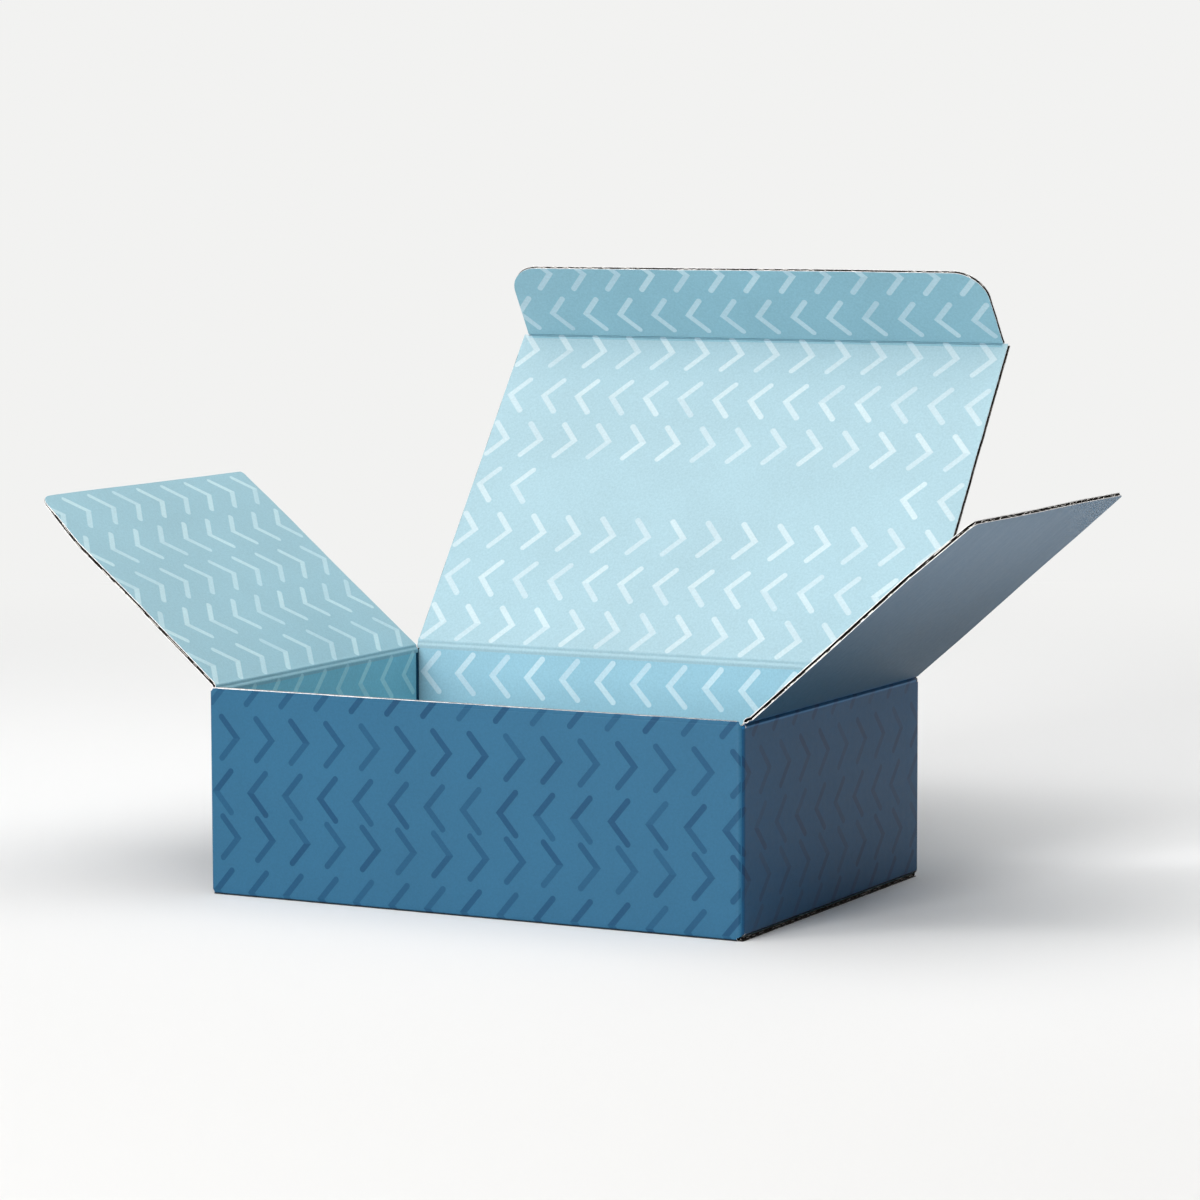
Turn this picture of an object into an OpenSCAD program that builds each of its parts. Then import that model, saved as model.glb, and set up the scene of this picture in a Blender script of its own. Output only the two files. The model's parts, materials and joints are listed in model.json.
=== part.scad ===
// Tuck-top mailing carton folded from one sheet of printed corrugated board, standing open.
// The origin is the middle of the base on the table, +X is right, +Y is back and +Z is up.

/* [Box] */
// Width over the two side walls
box_w = 250; // [190:1:340]
// Depth over the front and back walls
box_d = 176; // [120:1:240]
// Height of the front wall's raw edge
box_h = 88.5; // [60:0.5:140]

/* [Board] */
// Thickness of the corrugated board
board_t = 1.8; // [1.4:0.1:2.2]
// Thickness of one facing sheet of the board
liner_t = 0.3; // [0.2:0.05:0.35]
// Distance from one flute to the next
flute_pitch = 6.3; // [5:0.1:8]
// Depth to which the open flutes are cut at a raw edge
flute_depth = 3; // [1:0.5:6]

/* [Folds] */
// Inner radius of the four upright corner folds
corner_in_r = 0.8; // [0.4:0.1:2]
// Inner radius of the folds between the walls and the base
base_in_r = 0.4; // [0.2:0.1:1]
// Thickness of the board where a hinge crease presses it
crease_t = 0.5; // [0.4:0.05:0.6]
// Radius of the round spine of a hinge crease
spine_r = 0.3; // [0.25:0.05:0.4]
// Gap between the spine and the pressed strip of the moving panel
spine_gap = 0.4; // [0.4:0.05:0.6]
// Play between two full boards folded back at the hinge
crease_ease = 0.2; // [0.1:0.05:0.6]
// Smallest angle between two panels at a hinge crease
fold_min = 45; // [42:1:60]
// Radius of the relief notch at the top of each corner
notch_r = 1.6; // [1:0.1:2]
// Depth of the relief notch below the raw edge
notch_depth = 3.4; // [2.5:0.1:5]

/* [Lid] */
// Angle of the lid from its closed place
lid_open = 127.2; // [60:0.1:200]
// Play between the closed lid and the front wall's raw edge
lid_gap = 0.2; // [0.1:0.05:0.6]
// Distance by which each side of the lid stays inside the box
lid_inset = 0.75; // [0.4:0.05:1.5]

/* [Tuck flap] */
// Length of the tuck flap from its crease
tuck_len = 40.5; // [28:0.5:50]
// Angle through which the tuck flap is bent from the lid
tuck_bend = 73; // [0:0.5:100]
// Play between each end of the tuck flap and a side flap's pressed strip
tuck_side_play = 0.2; // [0.1:0.05:2]
// Amount by which each end of the tuck flap narrows
tuck_taper = 0.8; // [0:0.1:3]
// Radius of the tuck flap's two free corners
tuck_corner_r = 15; // [8:0.5:20]
// Play between the tuck flap's crease and the front wall
tuck_play = 0.3; // [0.2:0.05:1]

/* [Side flaps] */
// Length of the left flap from its crease
left_flap_len = 121.5; // [60:0.5:122]
// Length of the right flap from its crease
right_flap_len = 125; // [60:0.5:125.5]
// Angle of the left flap from its closed place
left_open = 140.6; // [30:0.1:220]
// Angle of the right flap from its closed place
right_open = 138.8; // [30:0.1:220]
// Width of the way for the tuck flap between the front wall and a side flap
tuck_way = 4.1; // [4:0.1:6]
// Distance of a hinge crease's end from the outside of the box
crease_inset = 3.4; // [3:0.1:5]
// Play between a side flap and the fold at the back corner
flap_back_play = 0.2; // [0.1:0.05:1]
// Length over which the side flap's front edge runs straight
flap_straight = 92; // [40:1:110]
// Distance by which the front edge then moves back at the tip
flap_taper = 4.6; // [0:0.1:12]
// Radius of the side flap's front free corner
flap_front_r = 5; // [1:0.5:12]
// Radius of the side flap's back free corner
flap_back_r = 2; // [0.5:0.5:10]

/* [Base] */
// Distance of the base panels' cut edges from the outside of the side walls
base_inset = 0.4; // [0.2:0.1:1]
// Gap where the front and back base panels meet
base_seam = 0.6; // [0.3:0.1:2]
// Distance of that seam in front of the middle
seam_shift = 8; // [7:0.5:20]
// Play between two layers of the base
layer_play = 0.15; // [0.1:0.05:0.4]
// Length of the inner base panel on each side wall
side_base_len = 62; // [40:1:80]
// Distance by which the inner base panel narrows at each end
side_base_taper = 9; // [2:0.5:20]
// Gap between the locking tongue and the inner base panels
tongue_gap = 7; // [3:0.5:20]
// Length of the tongue behind its ramp
tongue_len = 30; // [15:1:45]
// Length of the ramp that lifts the tongue over the back base panel
tongue_ramp = 8; // [5:0.5:16]
// Play around the tongue in its slot
tongue_play = 1; // [0.5:0.1:3]
// Radius of the tongue's corners
tongue_r = 8; // [2:0.5:12]

/* [Glued seam] */
// Width of the glue tab on the outside of the left wall
tab_w = 25; // [15:1:40]
// Thickness of the pressed glue tab
tab_t = 1; // [0.6:0.1:1.2]
// Distance of the tab's ends from the base and from the top
tab_end = 5; // [3:0.5:10]
// Bevel at the tab's two corners
tab_bevel = 4; // [1:0.5:8]
// Slot between the left wall's raw edge and the back wall
seam_slot = 1; // [0.5:0.1:2]

/* [Hidden] */
$fn = 48;
bite = 0.02;

outer_print = [0.25, 0.47, 0.61];
inner_print = [0.71, 0.86, 0.91];

// Folds
corner_r = corner_in_r + board_t;
base_r = base_in_r + board_t;
crease_half = board_t / 2 * (1 + cos(fold_min)) / sin(fold_min) + crease_ease;
strip_start = spine_r + spine_gap;
half_w = box_w / 2;
half_d = box_d / 2;
crease_half_w = half_w - crease_inset;
flap_far = half_d - corner_r - flap_back_play;

// Hinge lines
flap_axis_x = half_w - board_t / 2;
flap_axis_z = box_h - board_t / 2;
lid_axis_y = half_d - board_t / 2;
lid_axis_z = box_h + lid_gap + board_t / 2;
lid_len = box_d - 2 * board_t - tuck_play;
tuck_half_w = flap_axis_x - crease_half - tuck_side_play;

// Base layers
layer_z = board_t + layer_play;
seam_y = -seam_shift;
ramp_start = seam_y - tongue_ramp / 2;
ramp_end = seam_y + tongue_ramp / 2;
tongue_half_w = half_w - side_base_len - tongue_gap;
slot_half_w = tongue_half_w + tongue_play;

// Points of a quarter circle about c, from angle a0 on
function arc(c, r, a0) = [for (a = [0:7.5:90]) c + r * [cos(a0 + a), sin(a0 + a)]];

// A straight board panel: outline in the XY plane, thickness about z = 0
module panel(outline) {
    translate([0, 0, -board_t / 2])
        linear_extrude(board_t)
            polygon(outline);
}

// Quarter tube of board about Z, from +X round to +Y
module fold(r, len) {
    rotate_extrude(angle = 90)
        translate([r - board_t, 0])
            square([board_t, len]);
}

// Open flute ends in a raw edge along X at y = 0, cut towards -Y
module flute_ends(len) {
    count = floor(len / flute_pitch);
    core = board_t / 2 - liner_t;
    base = flute_pitch / 2 - liner_t;
    rotate([90, 0, 0])
        translate([0, 0, -bite])
            linear_extrude(flute_depth + bite)
                for (i = [0 : count - 1])
                    translate([(i - (count - 1) / 2) * flute_pitch, 0]) {
                        translate([-flute_pitch / 4, 0])
                            polygon([[-base, core], [base, core], [0, liner_t - core]]);
                        if (i < count - 1)
                            translate([flute_pitch / 4, 0])
                                polygon([[-base, -core], [0, core - liner_t], [base, -core]]);
                    }
}

// Pressed strip of a crease along X, from y0 to y1
module crease_strip(half_len, y0, y1) {
    translate([-half_len, y0, -crease_t / 2])
        cube([2 * half_len, y1 - y0, crease_t]);
}

// Round spine of a crease along X
module spine(half_len) {
    translate([-half_len, 0, 0])
        rotate([0, 90, 0])
            cylinder(r = spine_r, h = 2 * half_len);
}

// Upright wall between two heights
module wall(x0, x1, y0, y1, z0, z1) {
    translate([x0, y0, z0])
        cube([x1 - x0, y1 - y0, z1 - z0]);
}

// Walls, glue tab and base
module front_wall() {
    difference() {
        wall(corner_r - half_w, half_w - corner_r, -half_d, board_t - half_d, base_r, box_h);
        translate([0, board_t / 2 - half_d, box_h])
            rotate([90, 0, 0])
                flute_ends(box_w - 4 * corner_r);
    }
}

module back_wall() {
    wall(corner_r - half_w - tab_t, half_w - corner_r, half_d - board_t, half_d,
         base_r, lid_axis_z - crease_half);
    translate([0, lid_axis_y, lid_axis_z]) {
        rotate([90, 0, 0])
            crease_strip(crease_half_w, -crease_half - bite, 0);
        spine(crease_half_w);
    }
}

// Side wall on the right, with its far end at y_end
module side_wall(y_end) {
    wall(half_w - board_t, half_w, corner_r - half_d, y_end,
         layer_z + base_r, flap_axis_z - crease_half);
    near = crease_inset - half_d;
    translate([flap_axis_x, (near + flap_far) / 2, flap_axis_z])
        rotate([0, 0, 90]) {
            rotate([90, 0, 0])
                crease_strip((flap_far - near) / 2, -crease_half - bite, 0);
            spine((flap_far - near) / 2);
        }
}

// Inner base panel that hangs on the right wall
module side_base() {
    reach = half_w - base_r;
    half_y = half_d - corner_r;
    translate([reach, -half_y, layer_z + base_r])
        rotate([-90, 0, 0])
            fold(base_r, 2 * half_y);
    translate([0, 0, layer_z + board_t / 2])
        panel([[reach, -half_y], [reach, half_y],
               [half_w - side_base_len, half_y - side_base_taper],
               [half_w - side_base_len, side_base_taper - half_y]]);
}

// Fold between the front wall and the base
module front_base_fold() {
    translate([corner_r - half_w, base_r - half_d, base_r])
        rotate([-90, 0, -90])
            fold(base_r, box_w - 2 * corner_r);
}

module front_base() {
    edge = half_w - base_inset;
    end = seam_y - base_seam / 2;
    front_base_fold();
    translate([0, 0, board_t / 2])
        panel([[-edge, base_r - half_d], [edge, base_r - half_d], [edge, end],
               [slot_half_w, end], [slot_half_w, ramp_start],
               [-slot_half_w, ramp_start], [-slot_half_w, end], [-edge, end]]);
    tongue();
}

// Locking tongue that rises through the slot and lies on the back base panel
module tongue() {
    upper = layer_z + board_t;
    translate([-tongue_half_w, 0, 0])
        rotate([90, 0, 90])
            linear_extrude(2 * tongue_half_w)
                polygon([[ramp_start - bite, 0], [ramp_start, 0], [ramp_end, layer_z],
                         [ramp_end + bite, layer_z], [ramp_end + bite, upper],
                         [ramp_end, upper], [ramp_start, board_t],
                         [ramp_start - bite, board_t]]);
    tip = ramp_end + tongue_len;
    translate([0, 0, layer_z + board_t / 2])
        panel(concat([[-tongue_half_w, ramp_end], [tongue_half_w, ramp_end]],
                     arc([tongue_half_w - tongue_r, tip - tongue_r], tongue_r, 0),
                     arc([tongue_r - tongue_half_w, tip - tongue_r], tongue_r, 90)));
}

module back_base() {
    edge = half_w - base_inset;
    start = seam_y + base_seam / 2;
    slot_end = ramp_end + tongue_play;
    mirror([0, 1, 0])
        front_base_fold();
    translate([0, 0, board_t / 2])
        panel([[edge, half_d - base_r], [-edge, half_d - base_r], [-edge, start],
               [-slot_half_w, start], [-slot_half_w, slot_end],
               [slot_half_w, slot_end], [slot_half_w, start], [edge, start]]);
}

// Relief notch cut outwards through a corner fold, with its rim at height top
module relief_notch(top) {
    translate([0, 0, top - notch_depth + notch_r])
        rotate([0, 90, 45])
            cylinder(r = notch_r, h = 2 * corner_r);
    rotate([0, 0, 45])
        translate([0, -notch_r, top - notch_depth + notch_r])
            cube([2 * corner_r, 2 * notch_r, notch_depth]);
}

// Upright fold at the corner in the quarter that starts at angle a, its middle at [x, y]
module corner_fold(x, y, a, top) {
    translate([x, y, 0])
        rotate([0, 0, a])
            difference() {
                translate([0, 0, base_r])
                    fold(corner_r, top - base_r);
                relief_notch(top);
            }
}

// Pressed tab that wraps the back left corner and is glued to the left wall
module glue_tab() {
    top = lid_axis_z - crease_half;
    x = corner_r - half_w - tab_t;
    translate([x, half_d - corner_r, 0])
        rotate([0, 0, 90])
            difference() {
                translate([0, 0, base_r])
                    rotate_extrude(angle = 90)
                        translate([corner_r - tab_t, 0])
                            square([tab_t, top - base_r]);
                relief_notch(top);
            }
    y0 = half_d - corner_r;
    y1 = half_d - tab_w;
    z0 = base_r + tab_end;
    z1 = top - tab_end;
    translate([-half_w - tab_t, 0, 0])
        rotate([90, 0, 90])
            linear_extrude(tab_t)
                polygon([[y0 + bite, z0], [y0 + bite, z1], [y1 + tab_bevel, z1],
                         [y1, z1 - tab_bevel], [y1, z0 + tab_bevel], [y1 + tab_bevel, z0]]);
}

module carton_body() {
    back_top = lid_axis_z - crease_half;
    color(outer_print) {
        front_wall();
        back_wall();
        side_wall(half_d - corner_r);
        mirror([1, 0, 0])
            side_wall(half_d - board_t - seam_slot);
        side_base();
        mirror([1, 0, 0])
            side_base();
        front_base();
        back_base();
        corner_fold(half_w - corner_r, corner_r - half_d, -90, box_h);
        corner_fold(corner_r - half_w, corner_r - half_d, 180, box_h);
        corner_fold(half_w - corner_r, half_d - corner_r, 0, back_top);
        glue_tab();
    }
}

// The lid in its own plane: its back crease at y = 0, its front crease at y = -lid_len
module lid_board() {
    side = half_w - lid_inset;
    start = -crease_half;
    end = crease_half - lid_len;
    panel([[-side, end], [side, end], [side, start], [-side, start]]);
    crease_strip(crease_half_w, start - bite, -strip_start);
    translate([0, -lid_len, 0]) {
        crease_strip(tuck_half_w, 0, crease_half + bite);
        spine(tuck_half_w);
    }
}

module at_lid() {
    translate([0, lid_axis_y, lid_axis_z])
        rotate([-lid_open, 0, 0])
            children();
}

module lid() {
    color(inner_print)
        at_lid()
            lid_board();
}

// The tuck flap in its own plane: its crease at y = 0, its raw edge at y = -tuck_len
module tuck_board() {
    side = tuck_half_w;
    narrow = tuck_half_w - tuck_taper;
    c = [narrow - tuck_corner_r, tuck_corner_r - tuck_len];
    difference() {
        panel(concat([[side, -crease_half], [-side, -crease_half]],
                     arc([-c[0], c[1]], tuck_corner_r, 180),
                     arc(c, tuck_corner_r, 270)));
        translate([0, -tuck_len, 0])
            rotate([0, 0, 180])
                flute_ends(2 * c[0]);
    }
    crease_strip(side, -crease_half - bite, -strip_start);
}

module tuck_flap() {
    color(inner_print)
        at_lid()
            translate([0, -lid_len, 0])
                rotate([tuck_bend, 0, 0])
                    tuck_board();
}

// A side flap in its own plane: its crease on x = 0, its raw edge at x = -len
module side_flap_board(len) {
    near = board_t + tuck_way - half_d;
    tip_near = near + flap_taper;
    front_c = [flap_front_r - len, tip_near + flap_front_r];
    back_c = [flap_back_r - len, flap_far - flap_back_r];
    straight = min(flap_straight, len - 2 * flap_front_r);
    difference() {
        panel(concat([[-crease_half, near], [-crease_half, flap_far]],
                     arc(back_c, flap_back_r, 90),
                     arc(front_c, flap_front_r, 180),
                     [[-straight, near]]));
        translate([-len, (front_c[1] + back_c[1]) / 2, 0])
            rotate([0, 0, 90])
                flute_ends(back_c[1] - front_c[1]);
    }
    strip_near = crease_inset - half_d;
    translate([0, (strip_near + flap_far) / 2, 0])
        rotate([0, 0, 90])
            crease_strip((flap_far - strip_near) / 2, strip_start, crease_half + bite);
}

module right_flap() {
    color(inner_print)
        translate([flap_axis_x, 0, flap_axis_z])
            rotate([0, right_open, 0])
                side_flap_board(right_flap_len);
}

module left_flap() {
    color(inner_print)
        mirror([1, 0, 0])
            translate([flap_axis_x, 0, flap_axis_z])
                rotate([0, left_open, 0])
                    side_flap_board(left_flap_len);
}

carton_body();
lid();
tuck_flap();
left_flap();
right_flap();
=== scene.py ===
import json
import math

import bmesh
import bpy
import numpy as np
from mathutils import Matrix, Vector, noise

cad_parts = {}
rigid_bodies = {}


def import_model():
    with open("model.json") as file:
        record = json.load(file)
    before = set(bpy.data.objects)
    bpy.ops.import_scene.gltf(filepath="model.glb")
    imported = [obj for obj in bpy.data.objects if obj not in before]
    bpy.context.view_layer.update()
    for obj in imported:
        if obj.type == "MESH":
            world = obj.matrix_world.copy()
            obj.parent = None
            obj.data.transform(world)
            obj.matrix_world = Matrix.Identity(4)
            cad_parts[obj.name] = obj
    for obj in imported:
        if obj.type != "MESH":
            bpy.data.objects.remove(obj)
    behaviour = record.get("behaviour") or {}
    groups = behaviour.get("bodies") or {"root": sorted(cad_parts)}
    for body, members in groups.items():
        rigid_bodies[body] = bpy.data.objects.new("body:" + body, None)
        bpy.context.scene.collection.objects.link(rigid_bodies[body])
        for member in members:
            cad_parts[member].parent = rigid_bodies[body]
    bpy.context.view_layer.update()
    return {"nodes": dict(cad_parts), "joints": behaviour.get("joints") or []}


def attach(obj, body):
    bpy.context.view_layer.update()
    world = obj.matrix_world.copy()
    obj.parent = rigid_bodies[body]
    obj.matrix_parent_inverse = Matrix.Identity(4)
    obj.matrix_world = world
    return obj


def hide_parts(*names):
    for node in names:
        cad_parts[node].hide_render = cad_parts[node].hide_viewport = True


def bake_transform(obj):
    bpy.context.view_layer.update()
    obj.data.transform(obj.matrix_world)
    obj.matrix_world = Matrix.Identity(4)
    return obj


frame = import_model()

scene = bpy.context.scene

# All sizes of the carton are in millimetres here; a mesh turns them into metres as it is made.
carton = {
    "width": 250.0,
    "depth": 176.0,
    "height": 88.5,
    "board": 1.8,
    "paper": 0.32,         # one facing paper
    "flutePitch": 6.3,
    "cornerRadius": 2.6,
    "baseRadius": 2.2,
    "creaseHalf": 2.37,    # board that a crease takes on each side of its hinge line
    "innerBase": 1.95,     # height of the base's inner panels above its outer ones
}
halfW = carton["width"] / 2
halfD = carton["depth"] / 2
board = carton["board"]
cornerR = carton["cornerRadius"]
baseR = carton["baseRadius"]
creaseHalf = carton["creaseHalf"]
innerBase = carton["innerBase"]

# Angles of the moving panels as the carton stands, from straight up
rest = {"lid": 37.2, "tuck": 35.8, "left": 39.4, "right": 41.2}

axes = {j["name"]: 1000 * Vector(j["pos_m"]) for j in frame["joints"]}
lidAxis = axes["lid_hinge"]
tuckAxis = axes["tuck_fold"]
leftAxis = axes["left_flap_hinge"]
rightAxis = axes["right_flap_hinge"]
print("frame loaded:", ", ".join(sorted(frame["nodes"])))


# Shader trees

class Wires:
    # Adds nodes to one tree and links them as they are made
    def __init__(self, tree):
        self.tree = tree

    def add(self, kind, inputs=(), out=0, **settings):
        node = self.tree.nodes.new(kind)
        for name, value in settings.items():
            setattr(node, name, value)
        for key, value in dict(inputs).items():
            if isinstance(value, bpy.types.NodeSocket):
                self.tree.links.new(value, node.inputs[key])
            else:
                node.inputs[key].default_value = value
        return node.outputs[out]

    def math(self, operation, *values, clamp=False):
        return self.add("ShaderNodeMath", dict(enumerate(values)), operation=operation,
                        use_clamp=clamp)

    def smooth(self, value, low, high):
        return self.add("ShaderNodeMapRange", {"Value": value, "From Min": low, "From Max": high},
                        interpolation_type="SMOOTHSTEP")

    def noise(self, place, scale, detail):
        return self.add("ShaderNodeTexNoise", {"Vector": place, "Scale": scale, "Detail": detail})

    def softLine(self, value, middle, width):
        # 1 on the line, falling to 0 on both sides
        away = self.math("DIVIDE", self.math("SUBTRACT", value, middle), width)
        return self.math("EXPONENT", self.math("MULTIPLY", self.math("MULTIPLY", away, away), -1.0))

    def mix(self, factor, a, b, blend="MIX"):
        return self.add("ShaderNodeMix", {0: factor, 6: a, 7: b}, out=2, data_type="RGBA",
                        blend_type=blend)


def groupTree(name, kind, inputs, outputs):
    tree = bpy.data.node_groups.new(name, kind)
    for label, socketKind, value in inputs:
        made = tree.interface.new_socket(label, in_out="INPUT", socket_type=socketKind)
        if value is not None:
            made.default_value = value
    for label, socketKind in outputs:
        tree.interface.new_socket(label, in_out="OUTPUT", socket_type=socketKind)
    return tree


chevron = {
    "tipBack": 1.9,      # from the outer tip to the meeting of the two strokes
    "reach": 7.5,        # from that meeting to the middle of a stroke's round end
    "rise": 8.75,
    "stroke": 1.3,       # half the stroke's width
    "edge": 0.16,        # softness of the ink's edge
    "pitch": 17.1,       # distance between two chevrons for which these sizes hold
    "lead": 4.0,         # start of a chevron's cell before its tip
    "overlap": 0.1,      # how far a stroke runs past the meeting, as a share of its length
}


def chevronRowGroup():
    number = "NodeSocketFloat"
    tree = groupTree("chevronRow", "ShaderNodeTree",
                     [("Across", number, 0), ("Along", number, 0), ("Row", number, 0),
                      ("Tip", number, 0), ("Pitch", number, 17), ("Facing", number, 1),
                      ("Gap From", number, 0), ("Gap To", number, 0)],
                     [("Mask", number), ("Tone", number)])
    w = Wires(tree)
    source = tree.nodes.new("NodeGroupInput").outputs
    stretch = w.math("DIVIDE", source["Pitch"], chevron["pitch"])
    across = w.math("MULTIPLY", w.math("SUBTRACT", source["Across"], source["Tip"]),
                    source["Facing"])
    lead = w.math("SUBTRACT", source["Pitch"], chevron["lead"])
    shifted = w.math("ADD", across, lead)
    cell = w.math("FLOOR", w.math("DIVIDE", shifted, source["Pitch"]))
    cellStart = w.math("MULTIPLY", cell, source["Pitch"])
    local = w.math("SUBTRACT", w.math("SUBTRACT", shifted, cellStart), lead)
    local = w.math("DIVIDE", local, stretch)
    height = w.math("SUBTRACT", source["Along"], source["Row"])
    px = w.math("ADD", local, chevron["tipBack"])
    py = w.math("ABSOLUTE", height)
    reach, rise = -chevron["reach"], chevron["rise"]
    share = w.math("DIVIDE", w.math("ADD", w.math("MULTIPLY", px, reach),
                                    w.math("MULTIPLY", py, rise)), reach ** 2 + rise ** 2)
    share = w.math("MAXIMUM", w.math("MINIMUM", share, 1.0), -chevron["overlap"])
    dx = w.math("SUBTRACT", px, w.math("MULTIPLY", share, reach))
    dy = w.math("SUBTRACT", py, w.math("MULTIPLY", share, rise))
    away = w.math("SQRT", w.math("ADD", w.math("MULTIPLY", dx, dx), w.math("MULTIPLY", dy, dy)))
    mask = w.math("SUBTRACT", 1.0, w.smooth(away, chevron["stroke"] - chevron["edge"],
                                            chevron["stroke"] + chevron["edge"]))
    inGap = w.math("MULTIPLY", w.math("GREATER_THAN", source["Across"], source["Gap From"]),
                   w.math("LESS_THAN", source["Across"], source["Gap To"]))
    mask = w.math("MULTIPLY", mask, w.math("SUBTRACT", 1.0, inGap))
    place = w.add("ShaderNodeCombineXYZ", {0: cell, 1: source["Row"], 2: w.math("SIGN", height)})
    tone = w.add("ShaderNodeTexWhiteNoise", {"Vector": place}, noise_dimensions="3D")
    sink = tree.nodes.new("NodeGroupOutput")
    tree.links.new(mask, sink.inputs["Mask"])
    tree.links.new(w.math("MULTIPLY", tone, mask), sink.inputs["Tone"])
    return tree


rowGroup = chevronRowGroup()

# Rows of chevrons for each printed face: place of the row, place of one tip, +1 or -1 for the
# way it points, and the distance from one chevron to the next. The rows are where the photo
# has them, measured along the flat board from the hinge or, on the outside, from the base.
printRows = {
    "front": [(2.0, -124.2, -1, 17.13), (24.9, -109.6, 1, 17.13), (44.4, -124.2, -1, 17.13),
              (67.4, -109.7, 1, 17.13), (91.0, -97.3, 1, 17.13)],
    "side": [(2.6, -80.3, -1, 19.0), (23.8, -60.9, 1, 18.9), (44.2, -77.6, -1, 19.1),
             (67.3, -61.0, 1, 18.9), (91.4, -67.8, 1, 19.0)],
    "back": [(2.0, -124.2, -1, 17.13), (24.9, -109.6, 1, 17.13), (44.4, -124.2, -1, 17.13),
             (67.4, -109.7, 1, 17.13)],
    "top": [(163.0, -109.6, 1, 17.13), (139.0, -124.2, -1, 17.13), (115.5, -109.6, 1, 17.13),
            (92.0, -124.2, -1, 17.13), (68.5, -109.6, 1, 17.13), (45.0, -124.2, -1, 17.13),
            (21.5, -109.6, 1, 17.13), (-2.0, -124.2, -1, 17.13)],
    "lidInside": [(163.0, -112.4, 1, 17.95), (137.1, -122.3, -1, 17.95), (112.4, -112.3, 1, 17.95),
                  (86.6, -122.3, -1, 17.95), (61.6, -112.2, 1, 17.95), (35.8, -122.4, -1, 17.95),
                  (11.4, -112.3, 1, 17.95), (-13.1, -122.7, -1, 17.95),
                  (-38.0, -112.5, 1, 17.95), (-63.0, -122.5, -1, 17.95)],
    "tuckInside": [(14.0, -106.5, -1, 17.93), (37.5, -96.7, 1, 17.91), (-9.1, -112.4, 1, 17.95)],
    "flapInside": [(109.3, -72.0, 1, 19.4), (85.4, -84.9, -1, 19.35), (60.7, -72.0, 1, 19.4),
                   (36.4, -85.0, -1, 19.35), (11.3, -71.4, 1, 19.4), (-11.2, -84.9, -1, 19.35),
                   (-36.0, -72.0, 1, 19.4), (-61.0, -84.9, -1, 19.35)],
    "plain": [],
}
lidBare = {"row": 86.6, "ends": (-86.0, 91.0)}   # bare middle of the lid's fourth row

prints = {
    "outer": {"ground": (0.020, 0.106, 0.195), "dark": (0.004, 0.052, 0.120),
              "light": (0.009, 0.074, 0.152)},
    "inner": {"ground": (0.325, 0.520, 0.585), "dark": (0.440, 0.640, 0.705),
              "light": (0.500, 0.700, 0.750)},
    "roughness": 0.39,
    "specular": 0.2,
}
# Painted light and shade: per-panel tints of the ground and of the marks, lighter, darker, greyer
# or bluer copies of one print where a panel is lit or shaded differently
paintedLightTints = {
    "side": ((0.32, 0.70, 0.89), (0.9, 0.82, 0.94)),
    "lidInside": ((1.03, 0.935, 0.925), (1.03, 0.885, 0.86)),
    "backInside": ((0.92, 0.98, 1.03), (1.08, 0.98, 0.987)),
    "tuckInside": ((0.74, 0.82, 0.86), (0.896, 0.846, 0.864)),
    "flapInside": ((0.97, 1.02, 1.04), (1.064, 1.045, 1.036)),
    "wallInside": ((0.80, 1.12, 1.20), (0.968, 1.10, 1.10)),
}
# The paper's own surface: clouds and grain in the ink, faint ridges over the flutes, and tooth
surface = {
    "cloud": {"scale": 22.0, "most": 0.16},
    "grain": {"scale": 1100.0, "most": 0.24},
    "tooth": {"scale": 420.0, "height": 0.05, "roughness": 0.10},
    "ridge": 0.012,
    "bump": 0.35,
    "bumpDepth": 0.001,
}
# Painted shade where the board folds under at the base: the ink darkens between these two heights,
# down to the darkest share
foldShade = {"front": (0.45, 1.15), "back": (0.45, 1.15), "side": (2.3, 3.3), "darkest": 0.1}
# Painted highlight: a lighter line on the rounded bead below a side flap's crease, where light
# catches the bead
beadHighlight = {"below": 1.7, "width": 0.45, "lighter": 0.9}
# A faint line is pressed into the front wall below its raw edge
pressedLine = {"below": 1.75, "width": 0.22, "depth": 0.10}
# Painted sheen on the outside of a flap: a grey reflection that grows towards its free edge, in
# faint streaks, and painted shade towards its hinge, where thin is the share of brightness left
paintedSheen = {
    "colour": (0.28, 0.36, 0.46),
    "from": 14.0,
    "to": 122.0,
    "most": 0.37,
    "thin": 0.62,
    "streakScale": (0.10, 0.012, 1.0),
    "streakTurn": 0.5,
    "streakNoise": (4.0, 4.0),   # its scale and its detail
    "even": 0.55,
    "streaky": 0.9,
}


def chevronMarks(w, across, along, rowsName):
    # Mask and tone of all rows of a printed face
    mask, tone = 0.0, 0.0
    for place, tip, facing, pitch in printRows[rowsName]:
        row = w.tree.nodes.new("ShaderNodeGroup")
        row.node_tree = rowGroup
        bareHere = rowsName == "lidInside" and place == lidBare["row"]
        gapFrom, gapTo = lidBare["ends"] if bareHere else (0.0, 0.0)
        for label, value in (("Row", place), ("Tip", tip), ("Facing", facing), ("Pitch", pitch),
                             ("Gap From", gapFrom), ("Gap To", gapTo)):
            row.inputs[label].default_value = value
        w.tree.links.new(across, row.inputs["Across"])
        w.tree.links.new(along, row.inputs["Along"])
        mask = w.math("MAXIMUM", row.outputs["Mask"], mask)
        tone = w.math("MAXIMUM", row.outputs["Tone"], tone)
    return mask, tone


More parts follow.
